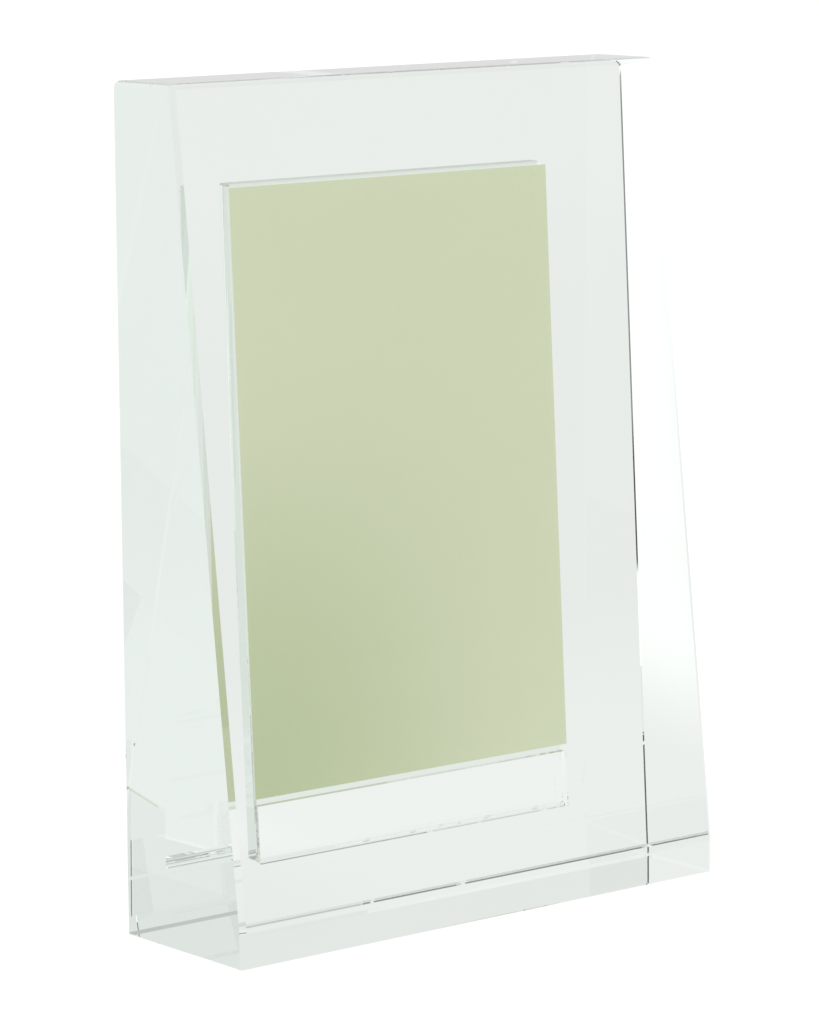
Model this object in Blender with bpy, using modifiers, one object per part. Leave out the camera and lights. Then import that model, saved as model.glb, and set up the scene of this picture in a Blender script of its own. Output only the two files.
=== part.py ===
"""Crystal wedge photo frame.

A thick wedge of clear crystal stands on its underside, with a sloping front and an upright back.
A thin crystal plate is bonded to the back along its foot only, which leaves a slot, open at the
top and at both sides. A photo card stands in the slot and is seen through the wedge.

Metres, +Z up. The sloping front faces -Y. The origin is the centre of the wedge's underside.
"""
import bmesh
import bpy
from mathutils import Matrix, Vector

COLLECTION_NAME = "crystal_photo_frame"

# Clearance that each piece keeps to the one it is bonded to or stands on.
SEAT_GAP = 0.0003

# Crystal wedge, sawn from a slab and then ground.
BLOCK_WIDTH = 0.1545
BLOCK_HEIGHT = 0.212
BLOCK_BASE_DEPTH = 0.047
BLOCK_TOP_DEPTH = 0.0235
# Upright band along the foot of the front, below the slope.
FOOT_BAND_HEIGHT = 0.0102

# Long edges across the width: the two at the top are rounded over, the two at the foot chamfered.
TOP_BACK_ROUNDING = 0.003
TOP_FRONT_ROUNDING = 0.0018
ROUNDING_FACETS = 3
FOOT_CHAMFER = 0.0005

# Edges round the two sides: how far each is cut back on the side and on the face beside it.
FRONT_EDGE_SIDE_LEG = 0.0009
FRONT_EDGE_FACE_LEG = 0.0015
BACK_EDGE_SIDE_LEG = 0.0006
BACK_EDGE_FACE_LEG = 0.0003
TOP_EDGE_LEG = 0.0004
FOOT_EDGE_LEG = 0.0004

# Photo card, a standard 4 by 6 inch sheet.
CARD_WIDTH = 0.1016
CARD_HEIGHT = 0.1524
CARD_THICKNESS = 0.0004
# The card stands this far above the strip that stops it from below.
CARD_LIFT = 0.0017

# Strip of clear adhesive that carries the plate and spaces it off the wedge.
STRIP_HEIGHT = 0.0147
STRIP_THICKNESS = 0.0006
# Height of the plate's and the strip's foot above the underside of the wedge.
PLATE_FOOT_HEIGHT = 0.0148

# Rear plate.
PLATE_WIDTH = 0.1008
PLATE_THICKNESS = 0.004
# The plate's top stands this far above the card's top.
PLATE_TOP_MARGIN = 0.0006
PLATE_CHAMFER = 0.0005

# Places that follow from the sizes above.
BLOCK_BACK_Y = BLOCK_BASE_DEPTH / 2
SLOT_WIDTH = STRIP_THICKNESS + 2 * SEAT_GAP
PLATE_FRONT_Y = BLOCK_BACK_Y + SLOT_WIDTH
STRIP_TOP_Z = PLATE_FOOT_HEIGHT + STRIP_HEIGHT
CARD_FOOT_Z = STRIP_TOP_Z + CARD_LIFT
PLATE_TOP_Z = CARD_FOOT_Z + CARD_HEIGHT + PLATE_TOP_MARGIN

# Linear colours.
CRYSTAL_COLOUR = (0.86, 0.93, 0.89)
ADHESIVE_COLOUR = (0.90, 0.92, 0.90)
CARD_COLOUR = (0.56, 0.61, 0.42)


def clear_scene():
    for item in list(bpy.data.objects):
        bpy.data.objects.remove(item, do_unlink=True)


def make_material(name, colour, roughness, transmission=0.0, ior=1.5):
    material = bpy.data.materials.new(name)
    material.use_nodes = True
    shader = material.node_tree.nodes["Principled BSDF"]
    shader.inputs["Base Color"].default_value = (*colour, 1.0)
    shader.inputs["Roughness"].default_value = roughness
    shader.inputs["Metallic"].default_value = 0.0
    shader.inputs["Transmission Weight"].default_value = transmission
    shader.inputs["IOR"].default_value = ior
    return material


def add_part(name, body, collection, material, location=(0, 0, 0)):
    """Turns a bmesh into a named object at a place, in the part's collection."""
    bmesh.ops.recalc_face_normals(body, faces=body.faces)
    mesh = bpy.data.meshes.new(name)
    body.to_mesh(mesh)
    body.free()
    mesh.materials.append(material)
    part = bpy.data.objects.new(name, mesh)
    part.location = location
    collection.objects.link(part)
    return part


def slab(width, depth, height):
    """A box that stands on Z = 0, centred on the Z axis."""
    body = bmesh.new()
    to_size = Matrix.Diagonal((width, depth, height, 1))
    onto_ground = Matrix.Translation((0, 0, height / 2))
    bmesh.ops.create_cube(body, size=1, matrix=onto_ground @ to_size)
    return body


def grind(body, point, normal):
    """Takes away all that lies beyond a plane and closes the cut with one flat facet."""
    geometry = body.verts[:] + body.edges[:] + body.faces[:]
    cut = bmesh.ops.bisect_plane(
        body, geom=geometry, dist=1e-7, plane_co=point, plane_no=normal, clear_outer=True
    )
    rim = [item for item in cut["geom_cut"] if isinstance(item, bmesh.types.BMEdge)]
    if rim:
        bmesh.ops.contextual_create(body, geom=rim)


def chamfer_edge(body, corner, along, first_leg, second_leg):
    """Grinds a flat along an edge, from the end of one leg to the end of the other.

    corner is a point on the edge, and each leg runs from it into one of the two faces.
    """
    normal = (second_leg - first_leg).cross(along).normalized()
    if normal.dot(first_leg) > 0:
        normal.negate()
    grind(body, corner + first_leg, normal)


def round_edge(body, corner, first_normal, second_normal, radius, facets):
    """Rounds an edge between two flat faces with narrow facets, each tangent to the same arc."""
    centre = corner - (first_normal + second_normal) * radius / (1 + first_normal.dot(second_normal))
    for step in range(1, facets + 1):
        normal = first_normal.slerp(second_normal, step / (facets + 1))
        grind(body, centre + normal * radius, normal)


def build_crystal_block(collection):
    """The wedge: a sawn slab with its front ground to a slope, then every edge taken off."""
    half_width = BLOCK_WIDTH / 2
    half_depth = BLOCK_BASE_DEPTH / 2
    body = slab(BLOCK_WIDTH, BLOCK_BASE_DEPTH, BLOCK_HEIGHT)

    front_foot = Vector((0, -half_depth, 0))
    front_bend = Vector((0, -half_depth, FOOT_BAND_HEIGHT))
    front_top = Vector((0, half_depth - BLOCK_TOP_DEPTH, BLOCK_HEIGHT))
    back_top = Vector((0, half_depth, BLOCK_HEIGHT))
    back_foot = Vector((0, half_depth, 0))

    up = Vector((0, 0, 1))
    back = Vector((0, 1, 0))
    across = Vector((1, 0, 0))
    slope = (front_top - front_bend).normalized()
    slope_normal = slope.cross(across).normalized()
    if slope_normal.y > 0:
        slope_normal.negate()
    grind(body, front_bend, slope_normal)

    # Each long edge runs across the whole width.
    round_edge(body, back_top, back, up, TOP_BACK_ROUNDING, ROUNDING_FACETS)
    round_edge(body, front_top, up, slope_normal, TOP_FRONT_ROUNDING, ROUNDING_FACETS)
    chamfer_edge(body, front_foot, across, back * FOOT_CHAMFER, up * FOOT_CHAMFER)
    chamfer_edge(body, back_foot, across, -back * FOOT_CHAMFER, up * FOOT_CHAMFER)

    # The edges round each side: start, end, and the leg on the side and on the face beside it.
    side_edges = (
        (front_foot, front_bend, FRONT_EDGE_SIDE_LEG, FRONT_EDGE_FACE_LEG),
        (front_bend, front_top, FRONT_EDGE_SIDE_LEG, FRONT_EDGE_FACE_LEG),
        (front_top, back_top, TOP_EDGE_LEG, TOP_EDGE_LEG),
        (back_top, back_foot, BACK_EDGE_SIDE_LEG, BACK_EDGE_FACE_LEG),
        (back_foot, front_foot, FOOT_EDGE_LEG, FOOT_EDGE_LEG),
    )
    for side in (-1, 1):
        for start, end, side_leg, face_leg in side_edges:
            along = (end - start).normalized()
            into_side = across.cross(along)
            if into_side.dot(Vector((0, 0, BLOCK_HEIGHT / 2)) - start) < 0:
                into_side.negate()
            corner = start + across * side * half_width
            chamfer_edge(body, corner, along, into_side * side_leg, -across * side * face_leg)

    crystal = make_material("optical_crystal", CRYSTAL_COLOUR, 0.02, transmission=1.0, ior=1.52)
    return add_part("crystal_block", body, collection, crystal)


def build_bond_strip(collection):
    """The clear adhesive strip along the plate's foot, the only thing that holds the plate."""
    body = slab(PLATE_WIDTH, STRIP_THICKNESS, STRIP_HEIGHT)
    adhesive = make_material("clear_adhesive", ADHESIVE_COLOUR, 0.08, transmission=1.0, ior=1.49)
    place = (0, BLOCK_BACK_Y + SEAT_GAP + STRIP_THICKNESS / 2, PLATE_FOOT_HEIGHT)
    return add_part("bond_strip", body, collection, adhesive, place)


def build_rear_plate(collection):
    """The thin plate behind the card, with a small polished chamfer on every edge."""
    body = slab(PLATE_WIDTH, PLATE_THICKNESS, PLATE_TOP_Z - PLATE_FOOT_HEIGHT)
    crystal = make_material("polished_plate", CRYSTAL_COLOUR, 0.02, transmission=1.0, ior=1.52)
    place = (0, PLATE_FRONT_Y + PLATE_THICKNESS / 2, PLATE_FOOT_HEIGHT)
    plate = add_part("rear_plate", body, collection, crystal, place)
    chamfer = plate.modifiers.new("Chamfer", "BEVEL")
    chamfer.width = PLATE_CHAMFER
    chamfer.segments = 1
    return plate


def build_insert_card(collection):
    """The photo card. Its origin is the middle of its foot, and it slides straight up from there."""
    body = slab(CARD_WIDTH, CARD_THICKNESS, CARD_HEIGHT)
    paper = make_material("printed_card", CARD_COLOUR, 0.5)
    place = (0, BLOCK_BACK_Y + SLOT_WIDTH / 2, CARD_FOOT_Z)
    return add_part("insert_card", body, collection, paper, place)


clear_scene()
parts = bpy.data.collections.new(COLLECTION_NAME)
bpy.context.scene.collection.children.link(parts)
build_crystal_block(parts)
build_bond_strip(parts)
build_rear_plate(parts)
build_insert_card(parts)
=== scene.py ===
"""A free-standing crystal photo frame: a thick wedge, with a thin plate bonded behind it by a clear strip
along its foot, and a photo card that stands in the slot between them.

Metres, +Z up. The sloping front faces -Y, and the wedge stands on Z = 0.
"""
import math

import bmesh
import bpy
from mathutils import Matrix, Vector


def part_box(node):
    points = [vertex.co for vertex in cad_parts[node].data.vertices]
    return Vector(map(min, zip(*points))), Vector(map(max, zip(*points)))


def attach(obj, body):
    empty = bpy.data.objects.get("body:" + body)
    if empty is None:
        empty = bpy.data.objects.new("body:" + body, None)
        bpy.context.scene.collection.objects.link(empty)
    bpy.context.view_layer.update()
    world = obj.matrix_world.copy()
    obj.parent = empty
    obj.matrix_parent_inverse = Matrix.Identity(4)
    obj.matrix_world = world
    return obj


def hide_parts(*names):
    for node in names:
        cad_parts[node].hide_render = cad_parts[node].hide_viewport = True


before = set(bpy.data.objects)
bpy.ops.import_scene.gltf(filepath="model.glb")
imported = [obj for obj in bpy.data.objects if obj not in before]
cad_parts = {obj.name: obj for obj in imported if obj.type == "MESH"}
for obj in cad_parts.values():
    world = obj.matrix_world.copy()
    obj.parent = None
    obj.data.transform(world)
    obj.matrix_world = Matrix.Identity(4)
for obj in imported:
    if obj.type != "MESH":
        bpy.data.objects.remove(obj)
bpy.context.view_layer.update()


# The wedge. A block of clear optical crystal, sawn from a slab and ground to a slope above a low upright
# band. Its faces are polished flat, its two long top edges are rounded over, and its other edges, but for
# the bend above the band, are chamfered. It stands on its underside, and its back carries all the rest.
WEDGE_TOP_DEPTH = 0.0235
FOOT_BAND_HEIGHT = 0.0102
TOP_BACK_ROUNDING = 0.003
TOP_BACK_FACETS = 12
TOP_FRONT_ROUNDING = 0.0018
TOP_FRONT_FACETS = 8
FOOT_CHAMFER = 0.0005
# How far each edge round the two sides is cut back, on the side and on the face beside it.
FRONT_EDGE_SIDE_LEG = 0.0009
FRONT_EDGE_FACE_LEG = 0.0015
BACK_EDGE_SIDE_LEG = 0.0006
BACK_EDGE_FACE_LEG = 0.00025
TOP_EDGE_LEG = 0.0004
FOOT_EDGE_LEG = 0.0004

# How near a corner has to be to a place, to another corner or to the plane of a cut, to count as there.
SAME_PLACE = 1e-5
MERGE_DISTANCE = 1e-6
CUT_DISTANCE = 1e-7
# The least share of an axis in the normal of a face that looks straight along it, and of one that is
# only turned towards it.
STRAIGHT = 0.999
TURNED = 0.3


def linear(colour):
    """Turns an sRGB hex colour into the linear one that a shader reads."""
    parts = [int(colour[i:i + 2], 16) / 255 for i in (0, 2, 4)]
    return [p / 12.92 if p <= 0.04045 else ((p + 0.055) / 1.055) ** 2.4 for p in parts] + [1.0]


def add_node(tree, kind, sockets=None, **settings):
    """Adds a node. sockets gives each input, by name or number, a value or the output that feeds it."""
    node = tree.nodes.new(kind)
    for name, value in settings.items():
        setattr(node, name, value)
    for key, value in (sockets or {}).items():
        if isinstance(value, bpy.types.NodeSocket):
            tree.links.new(value, node.inputs[key])
        else:
            node.inputs[key].default_value = value
    return node


def new_material(name):
    """An empty material, and the output node that its shader goes to."""
    material = bpy.data.materials.new(name)
    material.use_nodes = True
    material.node_tree.nodes.clear()
    return material, add_node(material.node_tree, "ShaderNodeOutputMaterial")


def deselect_all():
    """Leaves edit mode, and selects nothing."""
    if bpy.context.object and bpy.context.object.mode != "OBJECT":
        bpy.ops.object.mode_set(mode="OBJECT")
    bpy.ops.object.select_all(action="DESELECT")


def start_block(name, low, high):
    """Adds a block between two corners, and leaves it in edit mode."""
    deselect_all()
    centre = (Vector(low) + Vector(high)) / 2
    bpy.ops.mesh.primitive_cube_add(size=1, location=centre, scale=Vector(high) - Vector(low))
    piece = bpy.context.object
    piece.name = name
    piece.data.name = name
    bpy.ops.object.transform_apply(location=True, rotation=False, scale=True)
    bpy.ops.object.mode_set(mode="EDIT")
    return piece


def select_where(piece, kind, test):
    """In edit mode, selects the faces, edges or vertices that pass a test, and nothing else."""
    bpy.ops.mesh.select_all(action="DESELECT")
    bpy.ops.mesh.select_mode(type=kind)
    body = bmesh.from_edit_mesh(piece.data)
    items = {"VERT": body.verts, "EDGE": body.edges, "FACE": body.faces}[kind]
    for item in items:
        item.select_set(test(item))
    body.select_flush_mode()
    bmesh.update_edit_mesh(piece.data)


def grind(point, normal):
    """Takes away all that lies beyond a plane, and closes the cut with a flat facet."""
    bpy.ops.mesh.select_all(action="SELECT")
    bpy.ops.mesh.bisect(
        plane_co=point, plane_no=normal, use_fill=True, clear_outer=True, threshold=CUT_DISTANCE)


def grind_edge(corner, along, first_leg, second_leg):
    """Grinds a flat along an edge, from the end of one leg to the end of the other."""
    normal = (second_leg - first_leg).cross(along).normalized()
    if normal.dot(first_leg) > 0:
        normal.negate()
    grind(corner + first_leg, normal)


def across_edge_at(place):
    """A test for the edge that runs across the width through a place."""
    def test(edge):
        return all(
            abs(v.co.y - place.y) < SAME_PLACE and abs(v.co.z - place.z) < SAME_PLACE for v in edge.verts)
    return test


def facing(direction):
    """A test for the faces that face a direction."""
    def test(face):
        return face.normal.dot(Vector(direction)) > STRAIGHT
    return test


def score(piece, test, point, normal):
    """Splits the faces that pass a test along a plane, and keeps both sides."""
    select_where(piece, "FACE", test)
    bpy.ops.mesh.bisect(plane_co=point, plane_no=normal, threshold=CUT_DISTANCE)


def finish_piece(piece, materials):
    """Merges doubled corners, turns every face outwards and gives the piece its materials. The first of
    them is on every face, until dress or wet gives a face another."""
    bpy.ops.mesh.select_all(action="SELECT")
    bpy.ops.mesh.remove_doubles(threshold=MERGE_DISTANCE)
    bpy.ops.mesh.normals_make_consistent(inside=False)
    bpy.ops.object.mode_set(mode="OBJECT")
    for material in materials:
        piece.data.materials.append(material)


def dress(piece, material, test):
    """Gives one of the piece's materials to the faces that pass a test."""
    number = piece.data.materials.find(material.name)
    for face in piece.data.polygons:
        if test(face):
            face.material_index = number


wedge_low, wedge_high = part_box("crystal_block")
strip_low, strip_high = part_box("bond_strip")
wedge = start_block("polished_wedge", wedge_low, wedge_high)

front_foot = Vector((0, wedge_low.y, 0))
front_bend = Vector((0, wedge_low.y, FOOT_BAND_HEIGHT))
front_top = Vector((0, wedge_high.y - WEDGE_TOP_DEPTH, wedge_high.z))
back_top = Vector((0, wedge_high.y, wedge_high.z))
back_foot = Vector((0, wedge_high.y, 0))
across = Vector((1, 0, 0))
slope = (front_top - front_bend).normalized()
grind(front_bend, across.cross(slope))

# The long edges across the width: the place of each, how much is taken off it, and in how many facets.
for place, offset, facets in (
    (back_top, TOP_BACK_ROUNDING, TOP_BACK_FACETS),
    (front_top, TOP_FRONT_ROUNDING, TOP_FRONT_FACETS),
    (front_foot, FOOT_CHAMFER, 1),
    (back_foot, FOOT_CHAMFER, 1),
):
    select_where(wedge, "EDGE", across_edge_at(place))
    bpy.ops.mesh.bevel(offset=offset, segments=facets, affect="EDGES")

# The edges round each side: start, end, and the leg on the side and on the face beside it.
side_edges = (
    (front_foot, front_bend, FRONT_EDGE_SIDE_LEG, FRONT_EDGE_FACE_LEG),
    (front_bend, front_top, FRONT_EDGE_SIDE_LEG, FRONT_EDGE_FACE_LEG),
    (front_top, back_top, TOP_EDGE_LEG, TOP_EDGE_LEG),
    (back_top, back_foot, BACK_EDGE_SIDE_LEG, BACK_EDGE_FACE_LEG),
    (back_foot, front_foot, FOOT_EDGE_LEG, FOOT_EDGE_LEG),
)
for side in (-1, 1):
    for start, end, side_leg, face_leg in side_edges:
        along = (end - start).normalized()
        into_side = across.cross(along)
        if into_side.dot(Vector((0, 0, wedge_high.z / 2)) - start) < 0:
            into_side.negate()
        corner = start + across * side * wedge_high.x
        grind_edge(corner, along, into_side * side_leg, -across * side * face_leg)

# The rectangle of the back that the adhesive wets.
for point, normal in (
    ((strip_low.x, 0, 0), (1, 0, 0)), ((strip_high.x, 0, 0), (1, 0, 0)),
    ((0, 0, strip_low.z), (0, 0, 1)), ((0, 0, strip_high.z), (0, 0, 1)),
):
    score(wedge, facing((0, 1, 0)), point, normal)

# Polished optical crystal: K9, a borosilicate crown, sawn, ground flat and polished with cerium oxide.
# It is so smooth that only its edges show, and clear but for a faint green cast, which drifts a little
# from place to place in streaks about 30 mm wide, as melted glass does.
CRYSTAL_IOR = 1.517
STREAKS_PER_METRE = 33.0


def crystal_material(name, tint, streak, roughness=0.0):
    """Clear crystal whose cast drifts between two colours."""
    material, output = new_material(name)
    tree = material.node_tree
    place = add_node(tree, "ShaderNodeTexCoord").outputs["Object"]
    drift = add_node(tree, "ShaderNodeTexNoise", {
        "Vector": place, "Scale": STREAKS_PER_METRE, "Detail": 3.0})
    cast = add_node(tree, "ShaderNodeMix", {
        "Factor": drift.outputs["Fac"], "A": linear(tint), "B": linear(streak)}, data_type="RGBA")
    glass = add_node(tree, "ShaderNodeBsdfPrincipled", {
        "Base Color": cast.outputs["Result"], "Roughness": roughness,
        "IOR": CRYSTAL_IOR, "Transmission Weight": 1.0})
    tree.links.new(glass.outputs["BSDF"], output.inputs["Surface"])
    return material


crystal = crystal_material("polished_optical_crystal", "EFF4F0", "EDF2EE")
# Light that enters by a side crosses the whole width, so the cast is deeper there.
side_crystal = crystal_material("polished_optical_crystal_side", "EAF2ED", "E8F0EB")

# The short arrises beside the top are only honed by hand, so they glow softly and don't glitter.
honed_crystal = crystal_material("honed_crystal_arris", "EFF4F0", "EDF2EE", roughness=0.3)

# Crystal wetted by the adhesive, which has nearly the crystal's own index, so this face doesn't show.
wetted, output = new_material("crystal_wetted_by_adhesive")
clear = add_node(wetted.node_tree, "ShaderNodeBsdfTransparent")
wetted.node_tree.links.new(clear.outputs["BSDF"], output.inputs["Surface"])


def wet(piece, direction, low, high):
    """Gives the wetted material to the faces that face a direction, inside a rectangle."""
    faces_it = facing(direction)
    dress(piece, wetted, lambda face: (
        faces_it(face) and low.x < face.center.x < high.x and low.z < face.center.z < high.z))


finish_piece(wedge, (crystal, wetted, side_crystal, honed_crystal))
dress(wedge, side_crystal, lambda face: abs(face.normal.x) > STRAIGHT)
dress(wedge, honed_crystal, lambda face: (
    TURNED < abs(face.normal.x) <= STRAIGHT and face.normal.z > TURNED))
wet(wedge, (0, 1, 0), strip_low, strip_high)
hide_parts("crystal_block")
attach(wedge, "frame")


# The bond. A strip of clear acrylic adhesive along the plate's foot, squeezed out to the plate's width and
# cured between the wedge and the plate. It is all that holds the plate, and its edges draw in a little.
EDGE_DRAW_IN = 0.0002
plate_low, plate_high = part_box("rear_plate")
bond_low = Vector((strip_low.x, wedge_high.y, strip_low.z))
bond_high = Vector((strip_high.x, plate_low.y, strip_high.z))
bond = start_block("adhesive_bead", bond_low, bond_high)
middle_y = (bond_low.y + bond_high.y) / 2
bpy.ops.mesh.select_all(action="SELECT")
bpy.ops.mesh.bisect(plane_co=(0, middle_y, 0), plane_no=(0, 1, 0), threshold=CUT_DISTANCE)
select_where(bond, "VERT", lambda v: abs(v.co.y - middle_y) < SAME_PLACE)
bond_size = bond_high - bond_low
bpy.ops.transform.resize(
    value=(1 - 2 * EDGE_DRAW_IN / bond_size.x, 1, 1 - 2 * EDGE_DRAW_IN / bond_size.z),
    center_override=(bond_low + bond_high) / 2)

# Cured acrylic adhesive: clear, glossy and a shade warmer than the crystal, with a slight unevenness
# in its free edge about 4 mm long.
RIPPLES_PER_METRE = 250.0
RIPPLE_HEIGHT = 0.0002
adhesive, output = new_material("cured_clear_acrylic")
tree = adhesive.node_tree
place = add_node(tree, "ShaderNodeTexCoord").outputs["Object"]
ripple = add_node(tree, "ShaderNodeTexNoise", {"Vector": place, "Scale": RIPPLES_PER_METRE, "Detail": 2.0})
bump = add_node(tree, "ShaderNodeBump", {
    "Height": ripple.outputs["Fac"], "Strength": 0.15, "Distance": RIPPLE_HEIGHT})
resin = add_node(tree, "ShaderNodeBsdfPrincipled", {
    "Base Color": linear("F4F6F0"), "Roughness": 0.04, "IOR": 1.49,
    "Transmission Weight": 1.0, "Normal": bump.outputs["Normal"]})
tree.links.new(resin.outputs["BSDF"], output.inputs["Surface"])
finish_piece(bond, (adhesive, wetted))
for direction in ((0, -1, 0), (0, 1, 0)):
    wet(bond, direction, bond_low, bond_high)
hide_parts("bond_strip")
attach(bond, "frame")


# The rear plate. A thin plate of the same crystal, cut a little narrower than the card and chamfered on
# every edge. It is bonded along its foot alone, so that the card slips down behind the wedge.
PLATE_CHAMFER = 0.0005
plate = start_block("polished_rear_plate", plate_low, plate_high)
bpy.ops.mesh.select_all(action="SELECT")
bpy.ops.mesh.bevel(offset=PLATE_CHAMFER, segments=1, affect="EDGES")
# The rectangle of its front that the adhesive wets, which runs down to the plate's own foot.
for point, normal in (
    ((strip_low.x + EDGE_DRAW_IN, 0, 0), (1, 0, 0)), ((strip_high.x - EDGE_DRAW_IN, 0, 0), (1, 0, 0)),
    ((0, 0, strip_high.z), (0, 0, 1)),
):
    score(plate, facing((0, -1, 0)), point, normal)

# The same crystal, but only 4 mm thick, so it shows hardly any of the cast. It is polished, but for its
# upper end, which is honed with the chamfers round it, and so glows softly.
plate_crystal = crystal_material("polished_plate_crystal", "F7FAF7", "F5F9F6")
finish_piece(plate, (plate_crystal, wetted, honed_crystal))
dress(plate, honed_crystal, lambda face: face.normal.z > TURNED)
wet(plate, (0, -1, 0), strip_low, strip_high)
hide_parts("rear_plate")
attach(plate, "frame")


# The card. A 4 by 6 inch sheet of coated card, printed in sage green, with nothing on it. It stands
# loose in the slot, just above the adhesive strip, and is drawn out upwards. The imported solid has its
# shape, so that solid stays, and is given a new material.
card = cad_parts["insert_card"]
card_low, card_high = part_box("insert_card")
card_size = card_high - card_low

# Coated printing card: a smooth satin print in a pale sage, with painted shade that deepens it towards the
# lower left corner, over a white core that shows at the cut edges and on the bare back.
printed, output = new_material("coated_printed_card")
tree = printed.node_tree
place = add_node(tree, "ShaderNodeTexCoord").outputs["Object"]
from_corner = add_node(tree, "ShaderNodeMapping", {"Vector": place, "Location": -card_low})
split = add_node(tree, "ShaderNodeSeparateXYZ", {0: from_corner.outputs["Vector"]})
# Painted shade: the print is darkened smoothly towards the lower left corner.
to_left = add_node(tree, "ShaderNodeMapRange", {
    "Value": split.outputs["X"], "From Min": card_size.x, "From Max": 0.0}, interpolation_type="SMOOTHSTEP")
to_foot = add_node(tree, "ShaderNodeMapRange", {
    "Value": split.outputs["Z"], "From Min": card_size.z * 0.75, "From Max": 0.0},
    interpolation_type="SMOOTHSTEP")
painted_corner_shade = add_node(tree, "ShaderNodeMath", {
    0: to_left.outputs["Result"], 1: to_foot.outputs["Result"]}, operation="MULTIPLY")
sage_with_corner_shade = add_node(tree, "ShaderNodeMix", {
    "Factor": painted_corner_shade.outputs["Value"], "A": linear("DFDFC1"), "B": linear("C5CAA1")},
    data_type="RGBA")
# Paper fibres are about 0.05 mm wide. They are drawn 0.4 mm wide, so that they show.
FIBRES_PER_METRE = 2500.0
FIBRE_HEIGHT = 0.00005
fibre = add_node(tree, "ShaderNodeTexNoise", {"Vector": place, "Scale": FIBRES_PER_METRE, "Detail": 2.0})
mottle = add_node(tree, "ShaderNodeMapRange", {
    "Value": fibre.outputs["Fac"], "From Min": 0.3, "From Max": 0.7, "To Min": 0.985, "To Max": 1.0})
print_with_painted_shade = add_node(tree, "ShaderNodeMix", {
    "Factor": 1.0, "A": sage_with_corner_shade.outputs["Result"], "B": mottle.outputs["Result"]},
    data_type="RGBA", blend_type="MULTIPLY")
# Only the front is printed.
normal = add_node(tree, "ShaderNodeNewGeometry").outputs["Normal"]
faced = add_node(tree, "ShaderNodeSeparateXYZ", {0: normal})
on_front = add_node(tree, "ShaderNodeMath", {0: faced.outputs["Y"], 1: -0.5}, operation="LESS_THAN")
colour = add_node(tree, "ShaderNodeMix", {
    "Factor": on_front.outputs["Value"], "A": linear("F4F3EE"), "B": print_with_painted_shade.outputs["Result"]},
    data_type="RGBA")
satin = add_node(tree, "ShaderNodeMapRange", {
    "Value": fibre.outputs["Fac"], "To Min": 0.42, "To Max": 0.55})
bump = add_node(tree, "ShaderNodeBump", {
    "Height": fibre.outputs["Fac"], "Strength": 0.1, "Distance": FIBRE_HEIGHT})
paper = add_node(tree, "ShaderNodeBsdfPrincipled", {
    "Base Color": colour.outputs["Result"], "Roughness": satin.outputs["Result"],
    "Normal": bump.outputs["Normal"]})
tree.links.new(paper.outputs["BSDF"], output.inputs["Surface"])
card.data.materials.clear()
card.data.materials.append(printed)


# The studio: a pale floor, a soft surrounding light and the camera. None of it is part of the frame.
# Seen directly, the floor and the surround are plain white. The floor's lit and dim parts below are painted
# light and shade in its glow, and they and the surround's show only in and through the crystal.
FLOOR_SIZE = 12.0
FLOOR_DROP = 0.0002
# Glass takes light from what reaches the card and again from what leaves it, so light that comes to a
# matt surface through crystal is made stronger by this much.
LIGHT_THROUGH_CRYSTAL = 1.13
WHITE = linear("FFFFFF")
deselect_all()
bpy.ops.mesh.primitive_plane_add(size=FLOOR_SIZE, location=(0, 0, -FLOOR_DROP))
floor = bpy.context.object
floor.name = "studio_floor"


def light_kinds(tree):
    """Sockets that are 1 for a ray that shows the studio, for one seen through or in crystal, and for
    light on its way through crystal to a matt surface."""
    path = add_node(tree, "ShaderNodeLightPath")
    bent = add_node(tree, "ShaderNodeMath", {
        0: path.outputs["Is Glossy Ray"], 1: path.outputs["Is Transmission Ray"]}, operation="MAXIMUM")
    scattered = add_node(tree, "ShaderNodeMath", {
        0: path.outputs["Diffuse Depth"], 1: 0.5}, operation="GREATER_THAN")
    seen = add_node(tree, "ShaderNodeMath", {
        0: path.outputs["Is Camera Ray"], 1: bent.outputs["Value"]}, operation="MAXIMUM")
    feeding = add_node(tree, "ShaderNodeMath", {
        0: bent.outputs["Value"], 1: scattered.outputs["Value"]}, operation="MULTIPLY")
    shown = add_node(tree, "ShaderNodeMath", {
        0: seen.outputs["Value"], 1: feeding.outputs["Value"]}, operation="SUBTRACT")
    return shown.outputs["Value"], bent.outputs["Value"], feeding.outputs["Value"]


floor_paint, output = new_material("white_studio_floor")
tree = floor_paint.node_tree
shown, bent, feeding = light_kinds(tree)
place = add_node(tree, "ShaderNodeSeparateXYZ", {
    0: add_node(tree, "ShaderNodeTexCoord").outputs["Object"]})

# Painted light from a lamp on the left, which is not in the scene: the floor glows brighter beyond a
# slanting line that starts behind the frame, and in a pool from 0.12 m to the left of the frame's middle.
# Close beside the frame, and on the right of it, the painted floor is a little dimmer. A tone is how bright
# a place shows in the crystal, where 1 is white.
LAMP_TONE = 1.18
BESIDE_TONE = 0.88
RIGHT_TONE = 0.93
LAMP_SLANT = 1.1
slant = add_node(tree, "ShaderNodeMath", {
    0: place.outputs["X"], 1: LAMP_SLANT, 2: place.outputs["Y"]}, operation="MULTIPLY_ADD")
beyond_slant = add_node(tree, "ShaderNodeMapRange", {
    "Value": slant.outputs["Value"], "From Min": 0.04, "From Max": 0.09, "To Min": BESIDE_TONE,
    "To Max": LAMP_TONE}, interpolation_type="SMOOTHSTEP")
before_slant = add_node(tree, "ShaderNodeMath", {
    0: slant.outputs["Value"], 1: 0.068}, operation="LESS_THAN")
by_lamp = add_node(tree, "ShaderNodeMath", {0: place.outputs["X"], 1: -0.12}, operation="LESS_THAN")
painted_lamp_pool = add_node(tree, "ShaderNodeMath", {
    0: before_slant.outputs["Value"], 1: by_lamp.outputs["Value"]}, operation="MULTIPLY")
left_tone = add_node(tree, "ShaderNodeMix", {
    "Factor": painted_lamp_pool.outputs["Value"], "A": beyond_slant.outputs["Result"], "B": LAMP_TONE},
    data_type="FLOAT")
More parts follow.
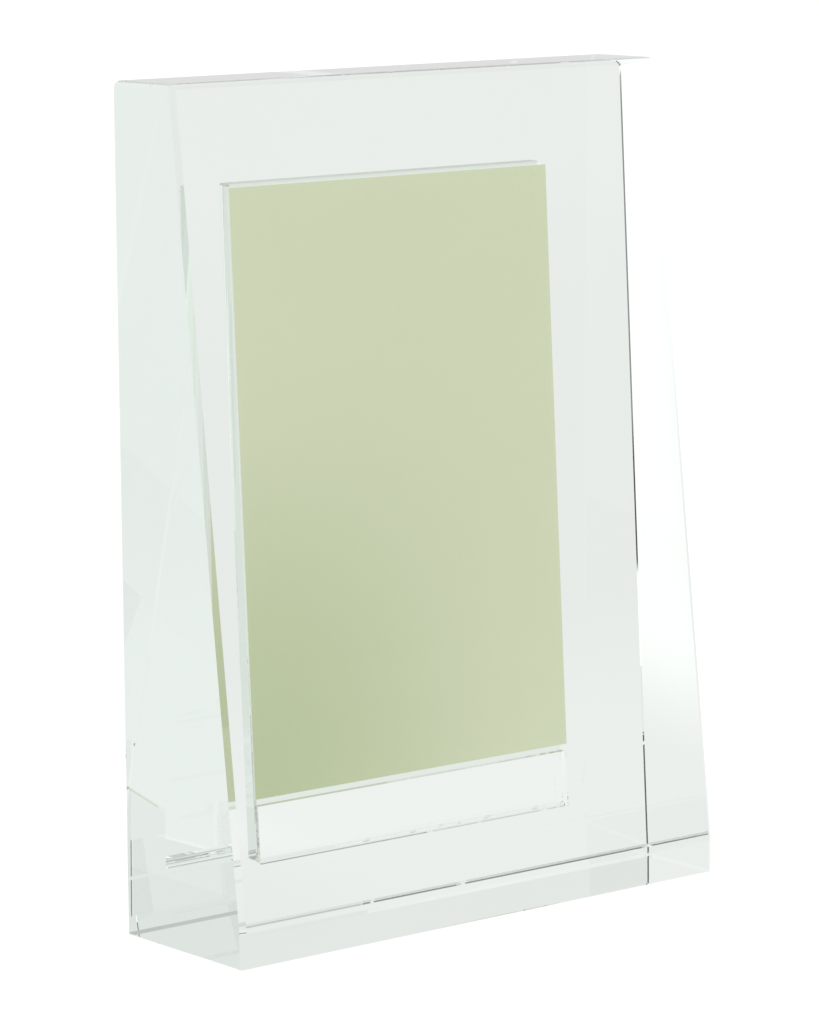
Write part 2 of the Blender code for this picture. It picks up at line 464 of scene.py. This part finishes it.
across_tone = add_node(tree, "ShaderNodeMapRange", {
    "Value": place.outputs["X"], "From Min": 0.02, "From Max": -0.10, "To Min": RIGHT_TONE,
    "To Max": left_tone.outputs["Result"]}, interpolation_type="SMOOTHSTEP")

# From front to back the painted light on the floor is a little brighter round the frame and far behind it,
# and a little dimmer in front. These are shares of the tones above.
BEFORE_SHARE = 0.96
ROUND_SHARE = 1.04
BACK_SHARE = 1.03
before_frame = add_node(tree, "ShaderNodeMapRange", {
    "Value": place.outputs["Y"], "From Min": -0.02, "From Max": -0.15, "To Min": 1.0,
    "To Max": BEFORE_SHARE}, interpolation_type="SMOOTHSTEP")
near_frame = add_node(tree, "ShaderNodeMapRange", {
    "Value": place.outputs["Y"], "From Min": 0.25, "From Max": 0.08, "To Min": 1.0,
    "To Max": ROUND_SHARE}, interpolation_type="SMOOTHSTEP")
far_back = add_node(tree, "ShaderNodeMapRange", {
    "Value": place.outputs["Y"], "From Min": 0.5, "From Max": 1.0, "To Min": 1.0,
    "To Max": BACK_SHARE}, interpolation_type="SMOOTHSTEP")
end_share = add_node(tree, "ShaderNodeMath", {
    0: far_back.outputs["Result"], 1: before_frame.outputs["Result"]}, operation="MULTIPLY")
along_share = add_node(tree, "ShaderNodeMath", {
    0: near_frame.outputs["Result"], 1: end_share.outputs["Value"]}, operation="MULTIPLY")
bare_tone = add_node(tree, "ShaderNodeMath", {
    0: across_tone.outputs["Result"], 1: along_share.outputs["Value"]}, operation="MULTIPLY")

# A narrow black strip is painted on the floor to the left, along a slant, and is blackest at its near end.
# It shows only in the crystal, where the upright arris on the right mirrors it from end to end as a painted
# dark reflection, and so is drawn dark.
STRIP_SLANT = 0.572
STRIP_PLACE = -0.0642
STRIP_HALF_WIDTH = 0.02
STRIP_FAR_TONE = 0.5
STRIP_TONE = 0.26
STRIP_NEAR_SHARE = 0.1
across_strip = add_node(tree, "ShaderNodeMath", {
    0: place.outputs["X"], 1: STRIP_SLANT, 2: place.outputs["Y"]}, operation="MULTIPLY_ADD")
strip_width = add_node(tree, "ShaderNodeMath", {
    0: across_strip.outputs["Value"], 1: STRIP_PLACE, 2: STRIP_HALF_WIDTH}, operation="COMPARE")
strip_length = add_node(tree, "ShaderNodeMapRange", {
    "Value": place.outputs["X"], "From Min": -0.185, "From Max": -0.199}, interpolation_type="SMOOTHSTEP")
on_painted_strip = add_node(tree, "ShaderNodeMath", {
    0: strip_width.outputs["Value"], 1: strip_length.outputs["Result"]}, operation="MULTIPLY")
far_strip = add_node(tree, "ShaderNodeMapRange", {
    "Value": place.outputs["X"], "From Min": -0.77, "From Max": -0.69, "To Min": STRIP_FAR_TONE,
    "To Max": STRIP_TONE}, interpolation_type="SMOOTHSTEP")
near_strip = add_node(tree, "ShaderNodeMapRange", {
    "Value": place.outputs["X"], "From Min": -0.33, "From Max": -0.28, "To Min": 1.0,
    "To Max": STRIP_NEAR_SHARE}, interpolation_type="SMOOTHSTEP")
painted_strip_tone = add_node(tree, "ShaderNodeMath", {
    0: far_strip.outputs["Result"], 1: near_strip.outputs["Result"]}, operation="MULTIPLY")
open_tone = add_node(tree, "ShaderNodeMix", {
    "Factor": on_painted_strip.outputs["Value"], "A": bare_tone.outputs["Value"], "B": painted_strip_tone.outputs["Value"]},
    data_type="FLOAT")

# Under the wedge the floor carries a painted shadow, which is lighter towards the painted lamp light.
UNDER_SHADOW_SHARE = 0.5
aside = add_node(tree, "ShaderNodeMath", {0: place.outputs["X"]}, operation="ABSOLUTE")
under_width = add_node(tree, "ShaderNodeMapRange", {
    "Value": aside.outputs["Value"], "From Min": 0.0765, "From Max": 0.070},
    interpolation_type="SMOOTHSTEP")
ahead = add_node(tree, "ShaderNodeMath", {0: place.outputs["Y"]}, operation="ABSOLUTE")
under_depth = add_node(tree, "ShaderNodeMapRange", {
    "Value": ahead.outputs["Value"], "From Min": 0.023, "From Max": 0.018}, interpolation_type="SMOOTHSTEP")
painted_shadow_under_wedge = add_node(tree, "ShaderNodeMath", {
    0: under_width.outputs["Result"], 1: under_depth.outputs["Result"]}, operation="MULTIPLY")
painted_shadow_share = add_node(tree, "ShaderNodeMapRange", {
    "Value": place.outputs["X"], "From Min": -0.022, "From Max": -0.072, "To Min": UNDER_SHADOW_SHARE,
    "To Max": 1.0})
shade = add_node(tree, "ShaderNodeMapRange", {
    "Value": painted_shadow_under_wedge.outputs["Value"], "To Min": 1.0, "To Max": painted_shadow_share.outputs["Result"]})
tone = add_node(tree, "ShaderNodeMath", {
    0: open_tone.outputs["Result"], 1: shade.outputs["Result"]}, operation="MULTIPLY")

# White matt paint, which glows a little so that it is plain white seen directly. In and through the
# crystal it shows instead the painted light and shade above, as a glow.
through_tone = add_node(tree, "ShaderNodeMix", {
    "Factor": feeding, "A": tone.outputs["Value"], "B": LIGHT_THROUGH_CRYSTAL}, data_type="FLOAT")
matt = add_node(tree, "ShaderNodeBsdfDiffuse", {"Color": linear("BCBCBC")})
glow = add_node(tree, "ShaderNodeEmission", {"Color": WHITE, "Strength": 0.6})
open_floor = add_node(tree, "ShaderNodeAddShader", {0: matt.outputs["BSDF"], 1: glow.outputs["Emission"]})
through = add_node(tree, "ShaderNodeEmission", {"Color": WHITE, "Strength": through_tone.outputs["Result"]})
direct = add_node(tree, "ShaderNodeMixShader", {
    0: shown, 1: matt.outputs["BSDF"], 2: open_floor.outputs["Shader"]})
floor_look = add_node(tree, "ShaderNodeMixShader", {
    0: bent, 1: direct.outputs["Shader"], 2: through.outputs["Emission"]})
tree.links.new(floor_look.outputs["Shader"], output.inputs["Surface"])
floor.data.materials.append(floor_paint)

# The surround is white overhead, behind the frame and on its left. The room on the camera's side is
# unlit, though lighter higher up, and ends on the right in a lit wall.
ROOM_LOW_TONE = 0.15
ROOM_HIGH_TONE = 0.66
LIT_WALL_LOW_TONE = 0.6
LIT_WALL_HIGH_TONE = 0.42
world = bpy.data.worlds.new("soft_studio")
bpy.context.scene.world = world
world.use_nodes = True
tree = world.node_tree
tree.nodes.clear()
shown, bent, feeding = light_kinds(tree)
way = add_node(tree, "ShaderNodeSeparateXYZ", {
    0: add_node(tree, "ShaderNodeTexCoord").outputs["Generated"]})
room_tone = add_node(tree, "ShaderNodeMapRange", {
    "Value": way.outputs["Z"], "From Min": 0.4, "From Max": 0.74, "To Min": ROOM_LOW_TONE,
    "To Max": ROOM_HIGH_TONE}, interpolation_type="SMOOTHSTEP")
lit_wall = add_node(tree, "ShaderNodeMapRange", {
    "Value": way.outputs["Z"], "From Min": 0.66, "From Max": 0.74, "To Min": LIT_WALL_LOW_TONE,
    "To Max": LIT_WALL_HIGH_TONE}, interpolation_type="SMOOTHSTEP")
right_hand = add_node(tree, "ShaderNodeMapRange", {
    "Value": way.outputs["X"], "From Min": 0.1, "From Max": 0.3}, interpolation_type="SMOOTHSTEP")
room_shade = add_node(tree, "ShaderNodeMix", {
    "Factor": right_hand.outputs["Result"], "A": room_tone.outputs["Result"],
    "B": lit_wall.outputs["Result"]}, data_type="FLOAT")
towards_camera = add_node(tree, "ShaderNodeMapRange", {
    "Value": way.outputs["Y"], "From Min": -0.1, "From Max": -0.34}, interpolation_type="SMOOTHSTEP")
below_lamp = add_node(tree, "ShaderNodeMapRange", {
    "Value": way.outputs["Z"], "From Min": 0.93, "From Max": 0.85}, interpolation_type="SMOOTHSTEP")
room_side = add_node(tree, "ShaderNodeMath", {
    0: below_lamp.outputs["Result"], 1: towards_camera.outputs["Result"]}, operation="MULTIPLY")

# The room is bright low on the right, over a table, and straight before the frame, in a window.
above_table = add_node(tree, "ShaderNodeMapRange", {
    "Value": way.outputs["Z"], "From Min": 0.3, "From Max": 0.4}, interpolation_type="SMOOTHSTEP")
off_to_left = add_node(tree, "ShaderNodeMapRange", {
    "Value": way.outputs["X"], "From Min": 0.2, "From Max": -0.1}, interpolation_type="SMOOTHSTEP")
off_table = add_node(tree, "ShaderNodeMath", {
    0: above_table.outputs["Result"], 1: off_to_left.outputs["Result"]}, operation="MAXIMUM")
beside_window = add_node(tree, "ShaderNodeMapRange", {
    "Value": way.outputs["Y"], "From Min": -0.76, "From Max": -0.66}, interpolation_type="SMOOTHSTEP")
below_window = add_node(tree, "ShaderNodeMapRange", {
    "Value": way.outputs["Z"], "From Min": 0.34, "From Max": 0.24}, interpolation_type="SMOOTHSTEP")
off_window = add_node(tree, "ShaderNodeMath", {
    0: beside_window.outputs["Result"], 1: below_window.outputs["Result"]}, operation="MAXIMUM")
room_wall = add_node(tree, "ShaderNodeMath", {
    0: off_table.outputs["Value"], 1: off_window.outputs["Value"]}, operation="MULTIPLY")
room = add_node(tree, "ShaderNodeMath", {
    0: room_side.outputs["Value"], 1: room_wall.outputs["Value"]}, operation="MULTIPLY")

# On the right the surround is a little less than white, and falls off towards the table.
TABLE_TONE = 0.84
ABOVE_TABLE_TONE = 0.90
near_table = add_node(tree, "ShaderNodeMapRange", {
    "Value": way.outputs["Z"], "From Min": 0.0, "From Max": 0.27, "To Min": TABLE_TONE,
    "To Max": ABOVE_TABLE_TONE})
on_right = add_node(tree, "ShaderNodeMapRange", {
    "Value": way.outputs["X"], "From Min": 0.0, "From Max": 0.4}, interpolation_type="SMOOTHSTEP")
wall_tone = add_node(tree, "ShaderNodeMix", {
    "Factor": on_right.outputs["Result"], "A": 1.0, "B": near_table.outputs["Result"]}, data_type="FLOAT")
surround = add_node(tree, "ShaderNodeMix", {
    "Factor": room.outputs["Value"], "A": wall_tone.outputs["Result"], "B": room_shade.outputs["Result"]},
    data_type="FLOAT")

# A flag, the black card that photographers use to draw the edges of glass, stands low on the left.
FLAG_SLANT = 0.75
FLAG_TONE = 0.08
flag_back = add_node(tree, "ShaderNodeMath", {
    0: way.outputs["X"], 1: FLAG_SLANT, 2: way.outputs["Y"]}, operation="MULTIPLY_ADD")
before_back = add_node(tree, "ShaderNodeMapRange", {
    "Value": flag_back.outputs["Value"], "From Min": 0.0, "From Max": -0.05},
    interpolation_type="SMOOTHSTEP")
behind_front = add_node(tree, "ShaderNodeMapRange", {
    "Value": way.outputs["Y"], "From Min": 0.2, "From Max": 0.3}, interpolation_type="SMOOTHSTEP")
flag_length = add_node(tree, "ShaderNodeMath", {
    0: before_back.outputs["Result"], 1: behind_front.outputs["Result"]}, operation="MULTIPLY")
flag_height = add_node(tree, "ShaderNodeMapRange", {
    "Value": way.outputs["Z"], "From Min": 0.34, "From Max": 0.30}, interpolation_type="SMOOTHSTEP")
flag = add_node(tree, "ShaderNodeMath", {
    0: flag_length.outputs["Value"], 1: flag_height.outputs["Result"]}, operation="MULTIPLY")
leftwards = add_node(tree, "ShaderNodeMath", {
    0: flag.outputs["Value"], 1: way.outputs["X"]}, operation="MULTIPLY")
on_flag = add_node(tree, "ShaderNodeMapRange", {
    "Value": leftwards.outputs["Value"], "From Min": 0.0, "From Max": -0.4})
studio = add_node(tree, "ShaderNodeMix", {
    "Factor": on_flag.outputs["Result"], "A": surround.outputs["Result"], "B": FLAG_TONE},
    data_type="FLOAT")

# Seen directly, the surround is plain white. So is its light, which is made stronger where it comes to a
# matt surface through crystal.
backdrop = add_node(tree, "ShaderNodeMix", {
    "Factor": bent, "A": 1.0, "B": studio.outputs["Result"]}, data_type="FLOAT")
light_strength = add_node(tree, "ShaderNodeMapRange", {
    "Value": feeding, "To Min": 1.0, "To Max": LIGHT_THROUGH_CRYSTAL})
lamp_side = add_node(tree, "ShaderNodeBackground", {
    "Color": WHITE, "Strength": light_strength.outputs["Result"]})
view_side = add_node(tree, "ShaderNodeBackground", {"Color": WHITE, "Strength": backdrop.outputs["Result"]})
blend = add_node(tree, "ShaderNodeMixShader", {
    0: shown, 1: lamp_side.outputs["Background"], 2: view_side.outputs["Background"]})
add_node(tree, "ShaderNodeOutputWorld", {"Surface": blend.outputs["Shader"]})

# Light is guided to and fro inside the wedge and the plate. It needs more bounces than usual, and no
# path is ended by chance before its 64th bounce, because that would leave a grain.
cycles = bpy.context.scene.cycles
cycles.max_bounces = 96
cycles.glossy_bounces = 96
cycles.transmission_bounces = 48
cycles.transparent_max_bounces = 32
cycles.min_light_bounces = 64
cycles.min_transparent_bounces = 32
# Blurred light paths and the denoiser's guide passes put a false grain on clear, sharp-edged crystal.
cycles.blur_glossy = 0.0
cycles.use_denoising = True
cycles.denoising_input_passes = "RGB"

# The camera stands 1.15 m away, to the front left and a little above the top, as the photograph's did.
CAMERA_AZIMUTH = math.radians(-39.083)
CAMERA_ELEVATION = math.radians(9.097)
CAMERA_ROLL = math.radians(-0.439)
CAMERA_DISTANCE = 1.14695
CAMERA_TARGET = Vector((0.01399, 0.0235, 0.09666))
FILM_HEIGHT_MM = 36
LENS_LENGTH_MM = 156.22
VIEW_END = 50
back = Vector((
    math.sin(CAMERA_AZIMUTH) * math.cos(CAMERA_ELEVATION),
    -math.cos(CAMERA_AZIMUTH) * math.cos(CAMERA_ELEVATION), math.sin(CAMERA_ELEVATION)))
right = Vector((math.cos(CAMERA_AZIMUTH), math.sin(CAMERA_AZIMUTH), 0))
up = back.cross(right)
turned_right = right * math.cos(CAMERA_ROLL) + up * math.sin(CAMERA_ROLL)
turned_up = up * math.cos(CAMERA_ROLL) - right * math.sin(CAMERA_ROLL)
lens = bpy.data.cameras.new("studio_camera")
camera = bpy.data.objects.new("studio_camera", lens)
bpy.context.scene.collection.objects.link(camera)
camera.matrix_world = (
    Matrix.Translation(CAMERA_TARGET + back * CAMERA_DISTANCE)
    @ Matrix((turned_right, turned_up, back)).transposed().to_4x4())
lens.sensor_fit = "VERTICAL"
lens.sensor_height = FILM_HEIGHT_MM
lens.lens = LENS_LENGTH_MM
lens.clip_end = VIEW_END
bpy.context.scene.camera = camera
bpy.context.scene.view_settings.view_transform = "Standard"
